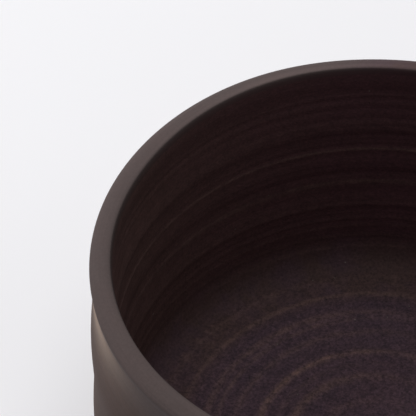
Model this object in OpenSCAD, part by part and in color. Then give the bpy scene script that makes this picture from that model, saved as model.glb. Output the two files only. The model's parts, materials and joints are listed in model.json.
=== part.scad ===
// Hand-thrown stoneware candle jar, open and empty.
// Rim, wall, floor and foot are one piece of fired clay. Millimetres.
// Z is the jar's axis and the foot stands on Z = 0.

/* [Outside] */
// Diameter across the lip
lip_d = 100; // [80:1:120]
// Overall height
jar_h = 58; // [48:1:90]
// How far the wall swells past the lip on its way down
belly = 1.2; // [0:0.1:3]
// Depth below the lip at which the swelling is full
belly_drop = 36; // [25:1:42]
// How far the soft waves that the potter's hand left outside stand in and out
wave_h = 0.22; // [0:0.02:0.4]
// Distance from one outside wave to the next
wave_pitch = 21; // [12:0.5:26]
// Depth below the lip of the first outside wave
wave_drop = 16.4; // [8:0.2:20]

/* [Rim] */
// Thickness of the wall at the lip
lip_t = 4; // [3:0.25:5]
// Height of the rounded lip above its widest circle
lip_round = 1.6; // [1:0.1:2.4]
// Width of the tight curve at the lip's inner edge
lip_edge = 0.4; // [0.2:0.1:1]
// Depth of the smooth straight band inside the mouth, where a lid's plug sits
mouth_h = 4; // [3:0.5:6]

/* [Inside] */
// Height of the jar's inner floor above the table
floor_z = 6.2; // [5:0.1:9]
// Width of the curve between the inner wall and the floor
cove_w = 4; // [3:0.5:8]
// Height of the curve between the inner wall and the floor
cove_h = 7; // [3:0.5:10]
// Depth of the throwing grooves in the inner wall
groove_depth = 0.4; // [0:0.05:0.8]
// Distance from one wall groove to the next
groove_pitch = 9.4; // [6:0.2:12]
// Height of the throwing ridges on the floor
ridge_h = 0.35; // [0:0.05:0.7]
// Distance from one floor ridge to the next
ridge_pitch = 6.4; // [5:0.2:9]

/* [Foot] */
// Width of the flat ring that the jar stands on
foot_w = 5.5; // [4:0.5:9]
// How far the trimmed bevel cuts in under the wall
bevel_w = 3.2; // [2:0.1:5]
// Height of the trimmed bevel
bevel_h = 4.2; // [2.5:0.1:6]
// Depth of the recess inside the foot ring
recess_h = 1.6; // [0.8:0.1:2.4]

/* [Hidden] */
$fn = 180;
arc_steps = 12;
wave_steps = 8;
lip_r = lip_d / 2;
lip_z = jar_h - lip_round;
mouth_r = lip_r - lip_t;
mouth_z = lip_z - mouth_h;
cove_z = floor_z + cove_h;
stand_r = lip_r + belly - bevel_w;
recess_r = stand_r - foot_w;
floor_r = mouth_r + groove_depth * wave(mouth_z - cove_z, groove_pitch) - cove_w;

// Evenly spaced values from a towards b, a fixed number to each wave. Every stretch below
// gives its start but not its end, which is where the next stretch starts.
function stations(a, b, pitch) =
    let (n = ceil(abs(b - a) / pitch * wave_steps))
    [for (i = [0:n - 1]) a + (b - a) * i / n];

// An elliptical arc about a centre, from one angle towards another.
function arc(centre, rx, ry, from, to) =
    [for (i = [0:arc_steps - 1])
        let (angle = from + (to - from) * i / arc_steps)
        [centre.x + rx * cos(angle), centre.y + ry * sin(angle)]];

// A wave that is 0 at its start and 1 half a pitch later.
function wave(travel, pitch) = (1 - cos(360 * travel / pitch)) / 2;

// Radius of the outer wall at a height: an easy swelling with soft waves on it.
function outer_r(z) =
    let (drop = lip_z - z)
    lip_r + belly * pow(sin(90 * min(1, drop / belly_drop)), 2)
        + wave_h * (cos(360 * (drop - wave_drop) / wave_pitch) - cos(360 * wave_drop / wave_pitch));

// Radius of the inner wall at a height: grooves cut outward from the mouth's radius.
function inner_r(z) = mouth_r + groove_depth * wave(mouth_z - z, groove_pitch);

// Height of the floor at a radius: ridges that start at the foot of the cove.
function floor_h(r) = floor_z + ridge_h * wave(floor_r - r, ridge_pitch);

// Half section of the jar, from the middle of the recess round to the middle of the floor.
function section() = concat(
    [[0, recess_h], [recess_r - recess_h, recess_h], [recess_r, 0], [stand_r, 0]],
    [for (z = stations(bevel_h, lip_z, wave_pitch)) [outer_r(z), z]],
    arc([mouth_r + lip_edge, lip_z], lip_t - lip_edge, lip_round, 0, 90),
    arc([mouth_r + lip_edge, lip_z], lip_edge, lip_round, 90, 180),
    [[mouth_r, lip_z]],
    [for (z = stations(mouth_z, cove_z, groove_pitch)) [inner_r(z), z]],
    arc([floor_r, cove_z], cove_w, cove_h, 0, -90),
    [for (r = stations(floor_r, 0, ridge_pitch)) [r, floor_h(r)]],
    [[0, floor_h(0)]]);

module jar() {
    color([0.16, 0.12, 0.12])
    rotate_extrude()
    polygon(section());
}

jar();
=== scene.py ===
"""The looks of the empty candle jar: one hand-thrown stoneware pot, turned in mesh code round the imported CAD
frame, in a matte iron-dark finish that breaks brown on its edges. Metres, in the CAD's own frame."""
import json
import math

import bpy
import numpy as np
from mathutils import Matrix, Vector


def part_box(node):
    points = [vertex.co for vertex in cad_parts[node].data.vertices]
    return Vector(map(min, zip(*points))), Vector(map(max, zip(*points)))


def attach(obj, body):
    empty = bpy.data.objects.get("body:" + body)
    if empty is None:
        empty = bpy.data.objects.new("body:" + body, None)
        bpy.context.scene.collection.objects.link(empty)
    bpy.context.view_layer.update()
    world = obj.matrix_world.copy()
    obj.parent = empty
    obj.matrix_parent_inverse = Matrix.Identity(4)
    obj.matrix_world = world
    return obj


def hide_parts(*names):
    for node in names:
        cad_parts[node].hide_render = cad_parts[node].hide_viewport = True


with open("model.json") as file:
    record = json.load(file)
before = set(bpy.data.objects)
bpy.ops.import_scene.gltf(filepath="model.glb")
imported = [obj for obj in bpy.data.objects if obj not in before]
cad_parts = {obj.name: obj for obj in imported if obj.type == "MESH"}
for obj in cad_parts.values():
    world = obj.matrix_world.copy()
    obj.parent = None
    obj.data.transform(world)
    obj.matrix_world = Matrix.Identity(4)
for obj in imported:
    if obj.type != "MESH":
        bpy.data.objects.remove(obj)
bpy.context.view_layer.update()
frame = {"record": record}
MM = 0.001

# ---------------------------------------------------------------- sizes that the frame gives
mounts = {mount["name"]: mount for mount in frame["record"]["mounts"]}
MOUTH_R = mounts["mouth"]["dims"]["r_mm"] * MM
MOUTH_BAND = mounts["mouth"]["dims"]["length_mm"] * MM
LIP_Z = mounts["mouth"]["pos_m"][2] + MOUTH_BAND / 2
FOOT_MID_R = mounts["base"]["pos_m"][0]
TOP_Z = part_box("jar")[1].z

# ---------------------------------------------------------------- the rest of the section, as in the CAD
LIP_T = 4 * MM
LIP_R = MOUTH_R + LIP_T
LIP_EDGE = 0.4 * MM
FLOOR_Z = 6.2 * MM
COVE_W = 4 * MM
COVE_H = 7 * MM
FOOT_W = 5.5 * MM
BEVEL_H = 4.2 * MM
RECESS_H = 1.6 * MM
# The outside swells by this much, down to this depth below the lip, with soft waves on it.
BELLY = 1.2 * MM
BELLY_DROP = 36 * MM
WAVE_H = 0.22 * MM
WAVE_PITCH = 21 * MM
WAVE_DROP = 16.4 * MM

# ---------------------------------------------------------------- the mesh's fineness
# Points round the jar, and the steps between them along the section.
AROUND = 220
STEP_OUTSIDE = 0.8 * MM
STEP_INSIDE = 0.3 * MM
STEP_LIP = 0.3 * MM
# The smallest ring of faces round the jar's axis.
SMALLEST_R = 0.3 * MM

# ---------------------------------------------------------------- the marks of the potter's hands
# Ridges on the inner wall: drop of the crest below the lip's widest circle, reach above and below it,
# how far it stands in, all in millimetres, and how brown the glaze breaks on it, from 0 to 1.
WALL_RIDGES = (
    (5.9, 0.7, 0.6, 0.10, 0.1),
    (7.9, 0.6, 0.6, 0.08, 0.1),
    (10.4, 0.7, 0.7, 0.03, 0.0),
    (12.8, 0.6, 0.5, 0.03, 0.1),
    (14.5, 4.2, 1.2, 0.28, 0.2),
    (17.1, 0.5, 0.4, 0.05, 0.0),
    (20.0, 0.6, 0.5, 0.08, 0.85),
    (24.3, 3.6, 1.3, 0.20, 0.0),
    (27.1, 0.5, 0.4, 0.03, 0.1),
    (28.6, 0.8, 1.5, 0.06, 0.5),
    (34.7, 3.4, 1.2, 0.18, 0.2),
    (36.9, 0.5, 0.4, 0.03, 0.0),
    (38.6, 0.7, 0.6, 0.035, 0.1),
    (40.6, 0.7, 0.6, 0.03, 0.3),
    (43.3, 0.8, 0.6, 0.04, 0.3),
    (46.1, 0.8, 0.6, 0.05, 0.2),
)
# How much the wall's ridges come and go round the jar, and how much the floor's browns do.
RIDGE_VARIES = 0.25
BROWN_VARIES = 0.42
# Between the first two depths below the lip the inner wall draws back from the mouth's radius by this
# much, and between the last two it comes in again.
THIN_START = 0.5 * MM
THIN_FULL = 7 * MM
THICKEN_START = 30 * MM
THICKEN_FULL = 44 * MM
THIN_DEPTH = 0.45 * MM

# Ridges on the jar's floor: radius, half width and height in millimetres, the same brown, and the angle
# in degrees at which they are brownest.
FLOOR_RIDGES = (
    (9.7, 1.2, 0.10, 0.30, 160),
    (15.9, 0.9, 0.10, 0.75, 145),
    (18.6, 0.6, 0.03, 0.20, 150),
    (22.0, 0.7, 0.11, 0.95, 132),
    (26.6, 0.8, 0.06, 0.36, 130),
    (30.2, 0.5, 0.05, 0.45, 145),
    (32.1, 0.8, 0.06, 0.54, 135),
    (36.9, 0.5, 0.09, 0.85, 110),
    (41.0, 0.7, 0.05, 0.25, 140),
)
# How far each of these ridges wanders in and out as it goes round.
RING_WANDER = 0.25 * MM
# The curl left in the very middle of the floor.
CURL_HEIGHT = 0.14 * MM
CURL_PITCH = 4.5 * MM
CURL_REACH = 6 * MM

# The rim is thicker here, inward, by this much, over this angle and this depth.
THICK_SPOT = 0.4 * MM
THICK_AT = 149
THICK_SPREAD = 20
THICK_REACH = 5 * MM
# The rim is a little thinner here.
SLIM_SPOT = -0.15 * MM
SLIM_AT = 97
SLIM_SPREAD = 16
# The rim dips here.
DIP = -0.6 * MM
DIP_AT = 88
DIP_SPREAD = 24
DIP_REACH = 6 * MM

# Fine lines that the fingertips drag round the clay: how many waves make them up, how steep each one is,
# and how far apart its crests lie, at least and at most.
FINE_LINES = 16
FINE_SLOPE = 0.019
FINEST_PITCH = 0.8 * MM
WIDEST_PITCH = 2.6 * MM

# The groove under the lip, outside.
GROOVE_DEPTH = 0.12 * MM
GROOVE_DROP = 1.0 * MM
GROOVE_REACH = 0.8 * MM

# ---------------------------------------------------------------- where the glaze changes
# The glaze stops at this height, above the trimmed foot, along an edge that rises and falls a little.
BARE_Z = 4.6 * MM
BARE_WAVE = 0.35 * MM
BARE_FADE = 0.5 * MM

# How far down the outside the glaze is thin.
THIN_GLAZE_REACH = 7.5 * MM
# A painted highlight: the sheen of light on the outside just under the lip, on one side of the jar.
OUTER_HIGHLIGHT_START = -0.2 * MM
OUTER_HIGHLIGHT_FULL = 2.2 * MM
OUTER_HIGHLIGHT_REACH = 7.5 * MM
OUTER_HIGHLIGHT_AT = 196
OUTER_HIGHLIGHT_SPREAD = 13
# At its inner edge the lip takes less of the thin glaze's colour, and it is painted darker there as shade
# where it curls down into the jar.
THIN_EDGE_LOSS = 0.6
INNER_EDGE_SHADE = 0.25
INNER_EDGE_SHADE_REACH = 0.9 * MM
# A painted highlight along the lip's inner half, on its far side.
RIM_HIGHLIGHT = 0.45
RIM_HIGHLIGHT_R = 47.0 * MM
RIM_HIGHLIGHT_REACH = 0.7 * MM
RIM_HIGHLIGHT_AT = 110
RIM_HIGHLIGHT_SPREAD = 26
# How grainy the glaze looks on the rim and outside, and how much more so in other places.
RIM_GRAIN = 0.2
WALL_GRAIN = 0.5
FLOOR_GRAIN = 0.8
MIDDLE_GRAIN = 0.3
# The wall's own black gives way to the floor's between these depths.
WALL_BLACK_TO = 40 * MM
FLOOR_BLACK_FROM = 50 * MM
# Where the lip is darker and takes less of the thin glaze's colour, over this angle.
DARK_SPOT_THIN_LOSS = 0.95
DARK_SPOT_DARKER = 0.12
DARK_SPOT_AT = 82
DARK_SPOT_SPREAD = 12
# The direction in which the inner wall is a browner black.
BROWNER_AT = 170
BROWNER_SPREAD = 55
# The floor is purple out to here, and olive from here on.
MIDDLE_FULL = 33.5 * MM
MIDDLE_END = 38.5 * MM
# Where short brown wisps point in from the foot of the wall.
WISP_R = 43 * MM
WISP_REACH = 2.8 * MM


# ---------------------------------------------------------------- the half section, from base to floor
def stations(a, b, step):
    """Even values from a towards b, b left out."""
    count = max(1, math.ceil(abs(b - a) / step))
    return a + (b - a) * np.arange(count) / count


def hump(away):
    """A soft bell: 1 where the distance is 0, and nearly 0 from 2 onwards either way."""
    return np.exp(-away ** 2)


def angle_from(angle, degrees):
    """How far an angle is from a direction, in degrees either way."""
    return (np.degrees(angle) - degrees + 180) % 360 - 180


def outer_radius(z):
    """The outside of the wall: an easy swelling with soft waves."""
    drop = LIP_Z - z
    swell = np.sin(np.pi / 2 * np.minimum(1, drop / BELLY_DROP)) ** 2
    turn = 2 * np.pi / WAVE_PITCH
    return LIP_R + BELLY * swell + WAVE_H * (np.cos(turn * (drop - WAVE_DROP)) - math.cos(turn * WAVE_DROP))


def ease(value, start, full):
    """Rises smoothly from 0 at the start to 1 where it is full."""
    share = np.clip((value - start) / (full - start), 0, 1)
    return np.sin(np.pi / 2 * share) ** 2


def thinning(drop):
    """How far the inner wall lies outside the mouth's radius."""
    return THIN_DEPTH * (ease(drop, THIN_START, THIN_FULL) - ease(drop, THICKEN_START, THICKEN_FULL))


def wall_ridges(drop, angle, phases):
    """How far the wall's ridges stand in, and how brown they are. They come and go a little round the jar."""
    inward = np.zeros(np.broadcast(drop, angle).shape)
    brown = np.zeros_like(inward)
    for (crest, above, below, height, tint), phase in zip(WALL_RIDGES, phases):
        reach = np.where(drop < crest * MM, above * MM, below * MM)
        strength = 1 + RIDGE_VARIES * np.sin(2 * angle + phase)
        shape = hump((drop - crest * MM) / reach)
        inward += height * MM * shape * strength
        brown += tint * shape ** 3 * strength
    return inward, brown


def floor_ridges(r, angle, phases):
    """How high the floor's ridges stand, and how brown they are. They wander in and out a little."""
    up = np.zeros(np.broadcast(r, angle).shape)
    brown = np.zeros_like(up)
    for (crest, half_width, height, tint, brownest), phase in zip(FLOOR_RIDGES, phases):
        crest_r = crest * MM + RING_WANDER * np.sin(angle + phase)
        shape = hump((r - crest_r) / (half_width * MM))
        up += height * MM * shape
        turned = np.cos(2 * (angle - math.radians(brownest)))
        brown += tint * shape * (1 - BROWN_VARIES + BROWN_VARIES * turned)
    curl = np.cos(2 * np.pi * r / CURL_PITCH - angle) * hump(r / CURL_REACH) * np.minimum(1, r / (2 * MM))
    return up + CURL_HEIGHT * curl, brown


def fine_lines(along, angle, rng):
    """Small lines round the jar that wander in strength and drift slowly up and down."""
    total = np.zeros(np.broadcast(along, angle).shape)
    for _ in range(FINE_LINES):
        pitch = rng.uniform(FINEST_PITCH, WIDEST_PITCH)
        drift = rng.integers(-2, 3)
        phase = rng.uniform(0, 2 * np.pi)
        fade = 0.6 + 0.4 * np.sin(rng.integers(1, 4) * angle + rng.uniform(0, 2 * np.pi))
        turns = 2 * np.pi * along / pitch + drift * angle + phase
        total += FINE_SLOPE * pitch / (2 * np.pi) * fade * np.sin(turns)
    return total


def section():
    """The jar's plain half section: the stretch that each row belongs to, and its radius and height."""
    foot_out = FOOT_MID_R + FOOT_W / 2
    foot_in = FOOT_MID_R - FOOT_W / 2
    lip_h = TOP_Z - LIP_Z
    floor_r = MOUTH_R - COVE_W
    # The base is plain, so its steps are wide.
    recess = stations(SMALLEST_R, foot_in - RECESS_H, 2 * MM)
    step = stations(0, 1, 0.25)
    ring = stations(foot_in, foot_out, 1 * MM)
    bevel = stations(0, 1, 0.2)
    out_z = stations(BEVEL_H, LIP_Z, STEP_OUTSIDE)
    lip = stations(0, np.pi / 2, STEP_LIP / (LIP_T - LIP_EDGE))
    edge = stations(np.pi / 2, np.pi, 0.3)
    in_z = stations(LIP_Z, FLOOR_Z + COVE_H, STEP_INSIDE)
    cove = stations(0, np.pi / 2, STEP_INSIDE / COVE_H)
    floor = stations(floor_r, SMALLEST_R, STEP_INSIDE * 1.1)
    stretches = (
        ("under", recess, np.full_like(recess, RECESS_H)),
        ("under", foot_in - RECESS_H * (1 - step), RECESS_H * (1 - step)),
        ("under", ring, np.zeros_like(ring)),
        ("under", foot_out + (outer_radius(BEVEL_H) - foot_out) * bevel, BEVEL_H * bevel),
        ("outside", outer_radius(out_z), out_z),
        ("lip", LIP_R - (LIP_T - LIP_EDGE) * (1 - np.cos(lip)), LIP_Z + lip_h * np.sin(lip)),
        ("lip", MOUTH_R + LIP_EDGE * (1 + np.cos(edge)), LIP_Z + lip_h * np.sin(edge)),
        ("wall", MOUTH_R + thinning(LIP_Z - in_z), in_z),
        ("cove", floor_r + COVE_W * np.cos(cove), FLOOR_Z + COVE_H * (1 - np.sin(cove))),
        ("floor", floor, np.full_like(floor, FLOOR_Z)),
    )
    names = np.concatenate([[name] * len(r) for name, r, z in stretches])
    r = np.concatenate([r for name, r, z in stretches])
    z = np.concatenate([z for name, r, z in stretches])
    return names, r, z


def jar_shape():
    """The jar over a grid of section rows and angles: radius, height, how brown it breaks, and its rows."""
    rng = np.random.default_rng(11)
    names, row_r, row_z = section()
    row_r = row_r[:, None]
    row_z = row_z[:, None]
    angle = (2 * np.pi * np.arange(AROUND) / AROUND)[None, :]
    r = np.repeat(row_r, AROUND, 1)
    z = np.repeat(row_z, AROUND, 1)
    brown = np.zeros_like(r)
    steps = np.hypot(np.diff(row_r, axis=0), np.diff(row_z, axis=0))
    along = np.concatenate([[[0]], np.cumsum(steps, axis=0)])
    drop = LIP_Z - row_z

    inside = np.isin(names, ("wall", "cove"))
    inward, tint = wall_ridges(drop, angle, rng.uniform(0, 2 * np.pi, len(WALL_RIDGES)))
    r[inside] -= inward[inside]
    brown[inside] += tint[inside]
    up, tint = floor_ridges(row_r, angle, rng.uniform(0, 2 * np.pi, len(FLOOR_RIDGES)))
    on_floor = names == "floor"
    z[on_floor] += up[on_floor]
    brown[on_floor] += tint[on_floor]

    lines = fine_lines(along, angle, rng)
    for name in ("outside", "wall"):
        side = names == name
        r[side] += lines[side]
    z[on_floor] += lines[on_floor]

    # The rim is a little thicker in one place, thinner in another, and dips where it is thin.
    inner_share = np.clip((LIP_R - row_r) / LIP_T, 0, 1)
    near_lip = inner_share * hump(np.maximum(0, drop) / THICK_REACH)
    upper = np.isin(names, ("lip", "wall"))
    thicker = THICK_SPOT * hump(angle_from(angle, THICK_AT) / THICK_SPREAD)
    thicker = (thicker + SLIM_SPOT * hump(angle_from(angle, SLIM_AT) / SLIM_SPREAD)) * near_lip
    r[upper] -= thicker[upper]
    z += DIP * hump(angle_from(angle, DIP_AT) / DIP_SPREAD) * np.clip(1 - drop / DIP_REACH, 0, 1)

    outside = names == "outside"
    groove = np.repeat(GROOVE_DEPTH * hump((drop - GROOVE_DROP) / GROOVE_REACH), AROUND, 1)
    r[outside] -= groove[outside]
    return r, z, angle, brown, (names, row_r, row_z, along)


def glaze_values(z, angle, brown, rows):
    """What the glaze reads at each point of the grid, mostly shares from 0 to 1."""
    names, row_r, row_z, along = rows
    drop = LIP_Z - row_z
    outer = np.isin(names, ("outside", "under"))[:, None]
    lip = (names == "lip")[:, None]
    inside = np.isin(names, ("wall", "cove"))[:, None]
    on_floor = (names == "floor")[:, None]

    lip_h = TOP_Z - LIP_Z
    inner_edge = (lip & (row_r < MOUTH_R + LIP_EDGE)) * (1 - ease(-drop, 0.5 * lip_h, lip_h))
    wall = inner_edge + inside * (1 - ease(drop, WALL_BLACK_TO, FLOOR_BLACK_FROM))
    browner = hump(angle_from(angle, BROWNER_AT) / BROWNER_SPREAD)
    middle = on_floor * (1 - ease(row_r, MIDDLE_FULL, MIDDLE_END))
    wisp = on_floor * hump((row_r - WISP_R) / WISP_REACH)

    # A darker spot on the lip.
    dark_spot = hump(angle_from(angle, DARK_SPOT_AT) / DARK_SPOT_SPREAD)
    thin_lip = lip * (1 - THIN_EDGE_LOSS * inner_edge) * (1 - DARK_SPOT_THIN_LOSS * dark_spot)
    thin = thin_lip + outer * hump(drop / THIN_GLAZE_REACH)
    # A painted highlight under the lip, outside.
    flash = hump(drop / OUTER_HIGHLIGHT_REACH) * hump(angle_from(angle, OUTER_HIGHLIGHT_AT) / OUTER_HIGHLIGHT_SPREAD)
    flash = outer * ease(drop, OUTER_HIGHLIGHT_START, OUTER_HIGHLIGHT_FULL) * flash
    # A painted highlight on the lip.
    rim_highlight = hump((row_r - RIM_HIGHLIGHT_R) / RIM_HIGHLIGHT_REACH) * hump(angle_from(angle, RIM_HIGHLIGHT_AT) / RIM_HIGHLIGHT_SPREAD)
    # Painted shade at the lip's inner edge, where it curls down into the jar.
    inner_edge_shade = 1 - ease(row_r, MOUTH_R + LIP_EDGE / 2, MOUTH_R + INNER_EDGE_SHADE_REACH)
    # The lip's tone: a painted highlight on its far side, painted shade at its inner edge, and a darker spot.
    shade = 1 + lip * (RIM_HIGHLIGHT * rim_highlight - INNER_EDGE_SHADE * inner_edge_shade - DARK_SPOT_DARKER * dark_spot)

    grainy = RIM_GRAIN + FLOOR_GRAIN * on_floor + WALL_GRAIN * inside + MIDDLE_GRAIN * middle
    wavy = BARE_WAVE * (np.sin(3 * angle + 1) + 0.6 * np.sin(7 * angle + 2))
    bare = np.clip((BARE_Z + wavy - z) / BARE_FADE, 0, 1) * outer
    values = {"along_mm": along / MM, "brown": brown, "outside": outer, "wall": wall, "browner": browner,
              "middle": middle, "wisp": wisp, "thin": thin, "flash": flash, "shade": shade,
              "specked": on_floor | inside, "grainy": grainy, "bare": bare}
    return {key: np.broadcast_to(value, z.shape).astype(float) for key, value in values.items()}


def turned_mesh(name):
    """Joins the grid into one closed mesh, with a point on the axis at each end of the section."""
    r, z, angle, brown, rows = jar_shape()
    values = glaze_values(z, angle, brown, rows)
    count = len(r)
    grid = np.stack([r * np.cos(angle), r * np.sin(angle), z], -1)
    poles = [[0, 0, z[0].mean()], [0, 0, z[-1].mean()]]
    verts = np.concatenate([grid.reshape(-1, 3), poles])
    here = np.arange(AROUND)
    beside = (here + 1) % AROUND
    low = (np.arange(count - 1) * AROUND)[:, None]
    high = low + AROUND
    quads = np.stack([low + here, low + beside, high + beside, high + here], -1).reshape(-1, 4)
    first = count * AROUND
    last = first + 1
    top = first - AROUND
    faces = quads.tolist()
    faces += np.column_stack([np.full(AROUND, first), beside, here]).tolist()
    faces += np.column_stack([np.full(AROUND, last), top + here, top + beside]).tolist()
    mesh = bpy.data.meshes.new(name)
    mesh.from_pydata(verts.tolist(), [], faces)
    mesh.shade_smooth()
    for key, value in values.items():
        layer = mesh.attributes.new(key, "FLOAT", "POINT")
        layer.data.foreach_set("value", np.concatenate([value.reshape(-1), value[0, :1], value[-1, :1]]))
    mesh.validate()
    obj = bpy.data.objects.new(name, mesh)
    bpy.context.scene.collection.objects.link(obj)
    return obj


jar = turned_mesh("thrown_jar")


# ---------------------------------------------------------------- materials
class Graph:
    """A material's nodes, with short ways to add and join them."""

    def __init__(self, name):
        self.mat = bpy.data.materials.new(name)
        self.mat.use_nodes = True
        self.nodes = self.mat.node_tree.nodes
        self.links = self.mat.node_tree.links
        self.shader = self.nodes["Principled BSDF"]

    def add(self, kind, inputs, **settings):
        node = self.nodes.new(kind)
        for key, value in settings.items():
            setattr(node, key, value)
        for key, value in inputs.items():
            self.put(node.inputs[key], value)
        return node

    def put(self, socket, value):
        if isinstance(value, bpy.types.NodeSocket):
            self.links.new(value, socket)
        else:
            socket.default_value = value

    def value(self, name):
        """What the mesh stores under this name at each point."""
        return self.add("ShaderNodeAttribute", {}, attribute_name=name).outputs["Fac"]

    def place(self):
        return self.add("ShaderNodeTexCoord", {}).outputs["Object"]

    def noise(self, vector, size, detail=3.0, roughness=0.5):
        """Noise with lumps of about this size, in the vector's own units."""
        inputs = {"Vector": vector, "Scale": 1 / size, "Detail": detail, "Roughness": roughness}
        return self.add("ShaderNodeTexNoise", inputs).outputs["Fac"]

    def spots(self, vector, spacing, radius, share):
        """Round spots, 1 in their middle and 0 outside, in a share of the cells."""
        cell = self.add("ShaderNodeTexVoronoi", {"Vector": vector, "Scale": 1 / spacing})
        chance = self.add("ShaderNodeSeparateColor", {"Color": cell.outputs["Color"]}).outputs["Red"]
        chosen = self.math("LESS_THAN", chance, share)
        body = self.span(cell.outputs["Distance"], radius / spacing, 0.4 * radius / spacing, 0, 1)
        return self.math("MULTIPLY", chosen, body)

    def math(self, operation, a, b):
        return self.add("ShaderNodeMath", {0: a, 1: b}, operation=operation).outputs[0]

    def span(self, value, low, high, to_low, to_high):
        """Carries the span low..high of a value to another span, and stops at its ends."""
        inputs = {"Value": value, "From Min": low, "From Max": high, "To Min": to_low, "To Max": to_high}
        return self.add("ShaderNodeMapRange", inputs).outputs["Result"]

    def mix(self, share, a, b):
        """Colour a, with this share of colour b laid over it."""
        node = self.add("ShaderNodeMix", {0: share, 6: a, 7: b}, data_type="RGBA")
        return node.outputs[2]

    def scale_colour(self, colour, factor):
        """A colour made lighter or darker."""
        grey = self.add("ShaderNodeCombineColor", {0: factor, 1: factor, 2: factor}).outputs[0]
        inputs = {0: 1.0, 6: colour, 7: grey}
        node = self.add("ShaderNodeMix", inputs, data_type="RGBA", blend_type="MULTIPLY")
        return node.outputs[2]

    def round_the_jar(self, turns, stretch):
        """A vector that changes fast along the section and slowly round the jar, with no seam."""
        split = self.add("ShaderNodeSeparateXYZ", {"Vector": self.place()})
        flat = self.add("ShaderNodeCombineXYZ", {"X": split.outputs["X"], "Y": split.outputs["Y"]}).outputs[0]
        unit = self.add("ShaderNodeVectorMath", {0: flat}, operation="NORMALIZE").outputs[0]
        sides = self.add("ShaderNodeVectorMath", {0: unit, "Scale": turns}, operation="SCALE").outputs[0]
        rise = self.math("MULTIPLY", self.value("along_mm"), stretch)
        lift = self.add("ShaderNodeCombineXYZ", {"Z": rise}).outputs[0]
        return self.add("ShaderNodeVectorMath", {0: sides, 1: lift}, operation="ADD").outputs[0]


# The glaze's colours, as linear light. The blacks differ only a little from place to place.
PURPLE_BLACK = (0.062, 0.0360, 0.0505, 1)
MAUVE_BLACK = (0.067, 0.0385, 0.0490, 1)
OLIVE_BLACK = (0.072, 0.0410, 0.0390, 1)
RED_BLACK = (0.084, 0.0330, 0.0410, 1)
BROWN_BLACK = (0.084, 0.0415, 0.0360, 1)
OUTER_BLACK = (0.059, 0.0325, 0.0265, 1)
BREAK_BROWN = (0.140, 0.0820, 0.0720, 1)
WARM_STONE = (0.070, 0.0495, 0.0475, 1)
# The colour of the painted highlight under the lip, outside.
PAINTED_HIGHLIGHT = (0.319, 0.2320, 0.1800, 1)
BARE_CLAY = (0.115, 0.0760, 0.0600, 1)
SPECK = (0.170, 0.1500, 0.1300, 1)


def glaze():
    """Dry iron black that varies in patches, breaks brown on the ridges and thins out on the rim."""
    g = Graph("iron_black_glaze")
    place = g.place()

    # Patterns from coarse to fine, then the lines that follow the wheel, then pits and pale specks.
    cloud = g.noise(place, 11 * MM, 5, 0.6)
    mottle = g.noise(place, 2.2 * MM, 3, 0.6)
    grain = g.noise(place, 0.5 * MM, 3, 0.7)
    streak = g.noise(g.round_the_jar(9, 1.1), 1.0, 3, 0.6)
    drag = g.noise(g.round_the_jar(1.6, 1.9), 1.0, 3, 0.6)
    pits = g.spots(place, 2.6 * MM, 0.22 * MM, 0.30)
    specks = g.spots(place, 2.1 * MM, 0.18 * MM, 0.07)

    # Where the colours change, as shares from 0 to 1.
    patches = g.math("ADD", g.math("MULTIPLY", cloud, 0.55), g.math("MULTIPLY", mottle, 0.45))
    wisps = g.span(g.noise(g.round_the_jar(36, 0.22), 1.0, 1, 0.5), 0.58, 0.72, 0, 0.5)
    purple = g.math("MAXIMUM", g.value("middle"), g.span(cloud, 0.45, 0.6, 0, 0.7))
    broken = g.span(g.math("ADD", streak, mottle), 0.75, 1.25, 0.4, 1.2)

    # Colours by place, each laid over the one before.
    body = g.mix(g.span(patches, 0.38, 0.62, 0, 1), PURPLE_BLACK, MAUVE_BLACK)
    body = g.mix(purple, OLIVE_BLACK, body)
    dark_side = g.mix(g.value("browner"), RED_BLACK, BROWN_BLACK)
    body = g.mix(g.math("MULTIPLY", g.value("wall"), 0.9), body, dark_side)
    body = g.mix(g.value("outside"), body, OUTER_BLACK)
    colour = g.mix(g.math("MULTIPLY", g.value("brown"), broken), body, BREAK_BROWN)
    colour = g.mix(g.math("MULTIPLY", g.value("wisp"), wisps), colour, BREAK_BROWN)
    colour = g.mix(g.value("thin"), colour, WARM_STONE)
    # The painted highlight under the lip, outside.
    colour = g.mix(g.value("flash"), colour, PAINTED_HIGHLIGHT)
    colour = g.mix(g.value("bare"), colour, BARE_CLAY)
    colour = g.mix(g.math("MULTIPLY", specks, g.value("specked")), colour, SPECK)

    # Light and dark within a colour, stronger where the surface is grainy.
    uneven = g.math("ADD", g.span(grain, 0.25, 0.75, -0.55, 0.55), g.span(mottle, 0.3, 0.7, -0.13, 0.13))
    uneven = g.math("SUBTRACT", uneven, g.math("MULTIPLY", pits, 0.5))
    tone = g.math("ADD", g.math("MULTIPLY", uneven, g.value("grainy")), 1.0)
    tone = g.math("MULTIPLY", tone, g.span(drag, 0.3, 0.7, 0.92, 1.08))
    tone = g.math("MULTIPLY", tone, g.span(cloud, 0.3, 0.7, 0.93, 1.07))
    # The lip's painted highlight, its painted shade at the inner edge and its darker spot, as a tone.
    tone = g.math("MULTIPLY", tone, g.value("shade"))
    g.put(g.shader.inputs["Base Color"], g.scale_colour(colour, tone))

    # A dry sheen and a shallow relief.
    g.put(g.shader.inputs["Roughness"], g.span(patches, 0.35, 0.65, 0.84, 0.94))
    g.put(g.shader.inputs["Specular IOR Level"], 0.38)
    height = g.math("ADD", g.math("MULTIPLY", grain, 0.6), g.math("MULTIPLY", drag, 0.4))
    pitted = g.math("SUBTRACT", height, pits)
    bump = g.add("ShaderNodeBump", {"Height": pitted, "Distance": 0.07 * MM, "Strength": 0.6})
    g.put(g.shader.inputs["Normal"], bump.outputs["Normal"])
    return g.mat


jar.data.materials.append(glaze())
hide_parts("jar")
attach(jar, "root")


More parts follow.
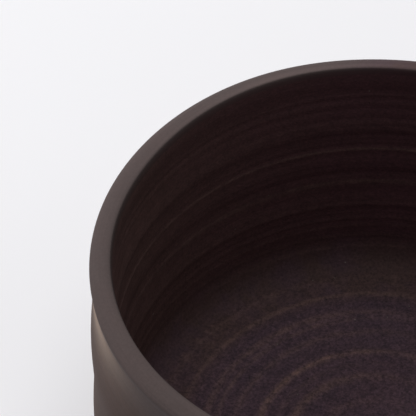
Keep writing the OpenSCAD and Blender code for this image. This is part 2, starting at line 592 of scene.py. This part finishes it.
# ---------------------------------------------------------------- stage, light and camera
def stage_floor():
    """A pale paper floor, wide enough to fill every view."""
    mesh = bpy.data.meshes.new("studio_floor")
    half = 6.0
    corners = [(-half, -half, 0), (half, -half, 0), (half, half, 0), (-half, half, 0)]
    mesh.from_pydata(corners, [], [(0, 1, 2, 3)])
    obj = bpy.data.objects.new("studio_floor", mesh)
    bpy.context.scene.collection.objects.link(obj)
    g = Graph("pale_paper")
    g.put(g.shader.inputs["Base Color"], (0.88, 0.875, 0.90, 1))
    g.put(g.shader.inputs["Roughness"], 0.9)
    g.put(g.shader.inputs["Specular IOR Level"], 0.1)
    mesh.materials.append(g.mat)


def softbox(name, at, target, size, watts, colour):
    """A square soft light that faces a target."""
    lamp = bpy.data.lights.new(name, "AREA")
    lamp.size = size
    lamp.energy = watts
    lamp.color = colour
    obj = bpy.data.objects.new(name, lamp)
    obj.location = at
    obj.rotation_mode = "QUATERNION"
    obj.rotation_quaternion = (Vector(target) - Vector(at)).to_track_quat("-Z", "Y")
    bpy.context.scene.collection.objects.link(obj)


def studio_world(colour, strength):
    """An even light from all round."""
    world = bpy.data.worlds.new("studio")
    bpy.context.scene.world = world
    world.use_nodes = True
    back = world.node_tree.nodes["Background"]
    back.inputs["Color"].default_value = colour
    back.inputs["Strength"].default_value = strength


# How high the camera stands, how far away in lip radii, the point in the lip's plane that it looks at, in
# lip radii right and back from the axis, how far it leans to one side, and its lens in millimetres.
CAMERA_ELEVATION = math.radians(47.2)
CAMERA_DISTANCE = 10.0
AIM = (-0.5998, 0.2188)
CAMERA_ROLL = math.radians(-2.5624)
CAMERA_LENS = 249.31


def camera():
    """Looks down at a point left of the jar's middle, close enough for the frame to cut the jar."""
    cam = bpy.data.cameras.new("camera")
    cam.sensor_width = 36
    cam.lens = CAMERA_LENS
    obj = bpy.data.objects.new("camera", cam)
    reach = CAMERA_DISTANCE * LIP_R
    at = Vector((0, -reach * math.cos(CAMERA_ELEVATION), LIP_Z + reach * math.sin(CAMERA_ELEVATION)))
    aim = Vector((AIM[0] * LIP_R, AIM[1] * LIP_R, LIP_Z))
    turn = (aim - at).to_track_quat("-Z", "Y").to_matrix() @ Matrix.Rotation(CAMERA_ROLL, 3, "Z")
    obj.matrix_world = Matrix.Translation(at) @ turn.to_4x4()
    bpy.context.scene.collection.objects.link(obj)
    bpy.context.scene.camera = obj


stage_floor()
studio_world((1.0, 1.0, 1.0, 1), 0.19)
softbox("overhead_light", (0, 0, 1.5), (0, 0, 0), 1.0, 7.0, (1, 1, 1))
softbox("window_light", (-0.85, 0.85, 0.9), (0, 0, 0), 1.0, 19.5, (1, 1, 1))
softbox("right_fill", (1.3, 0, 0.75), (0, 0, 0), 1.0, 1.6, (1, 1, 1))
camera()
bpy.context.scene.view_settings.view_transform = "Standard"
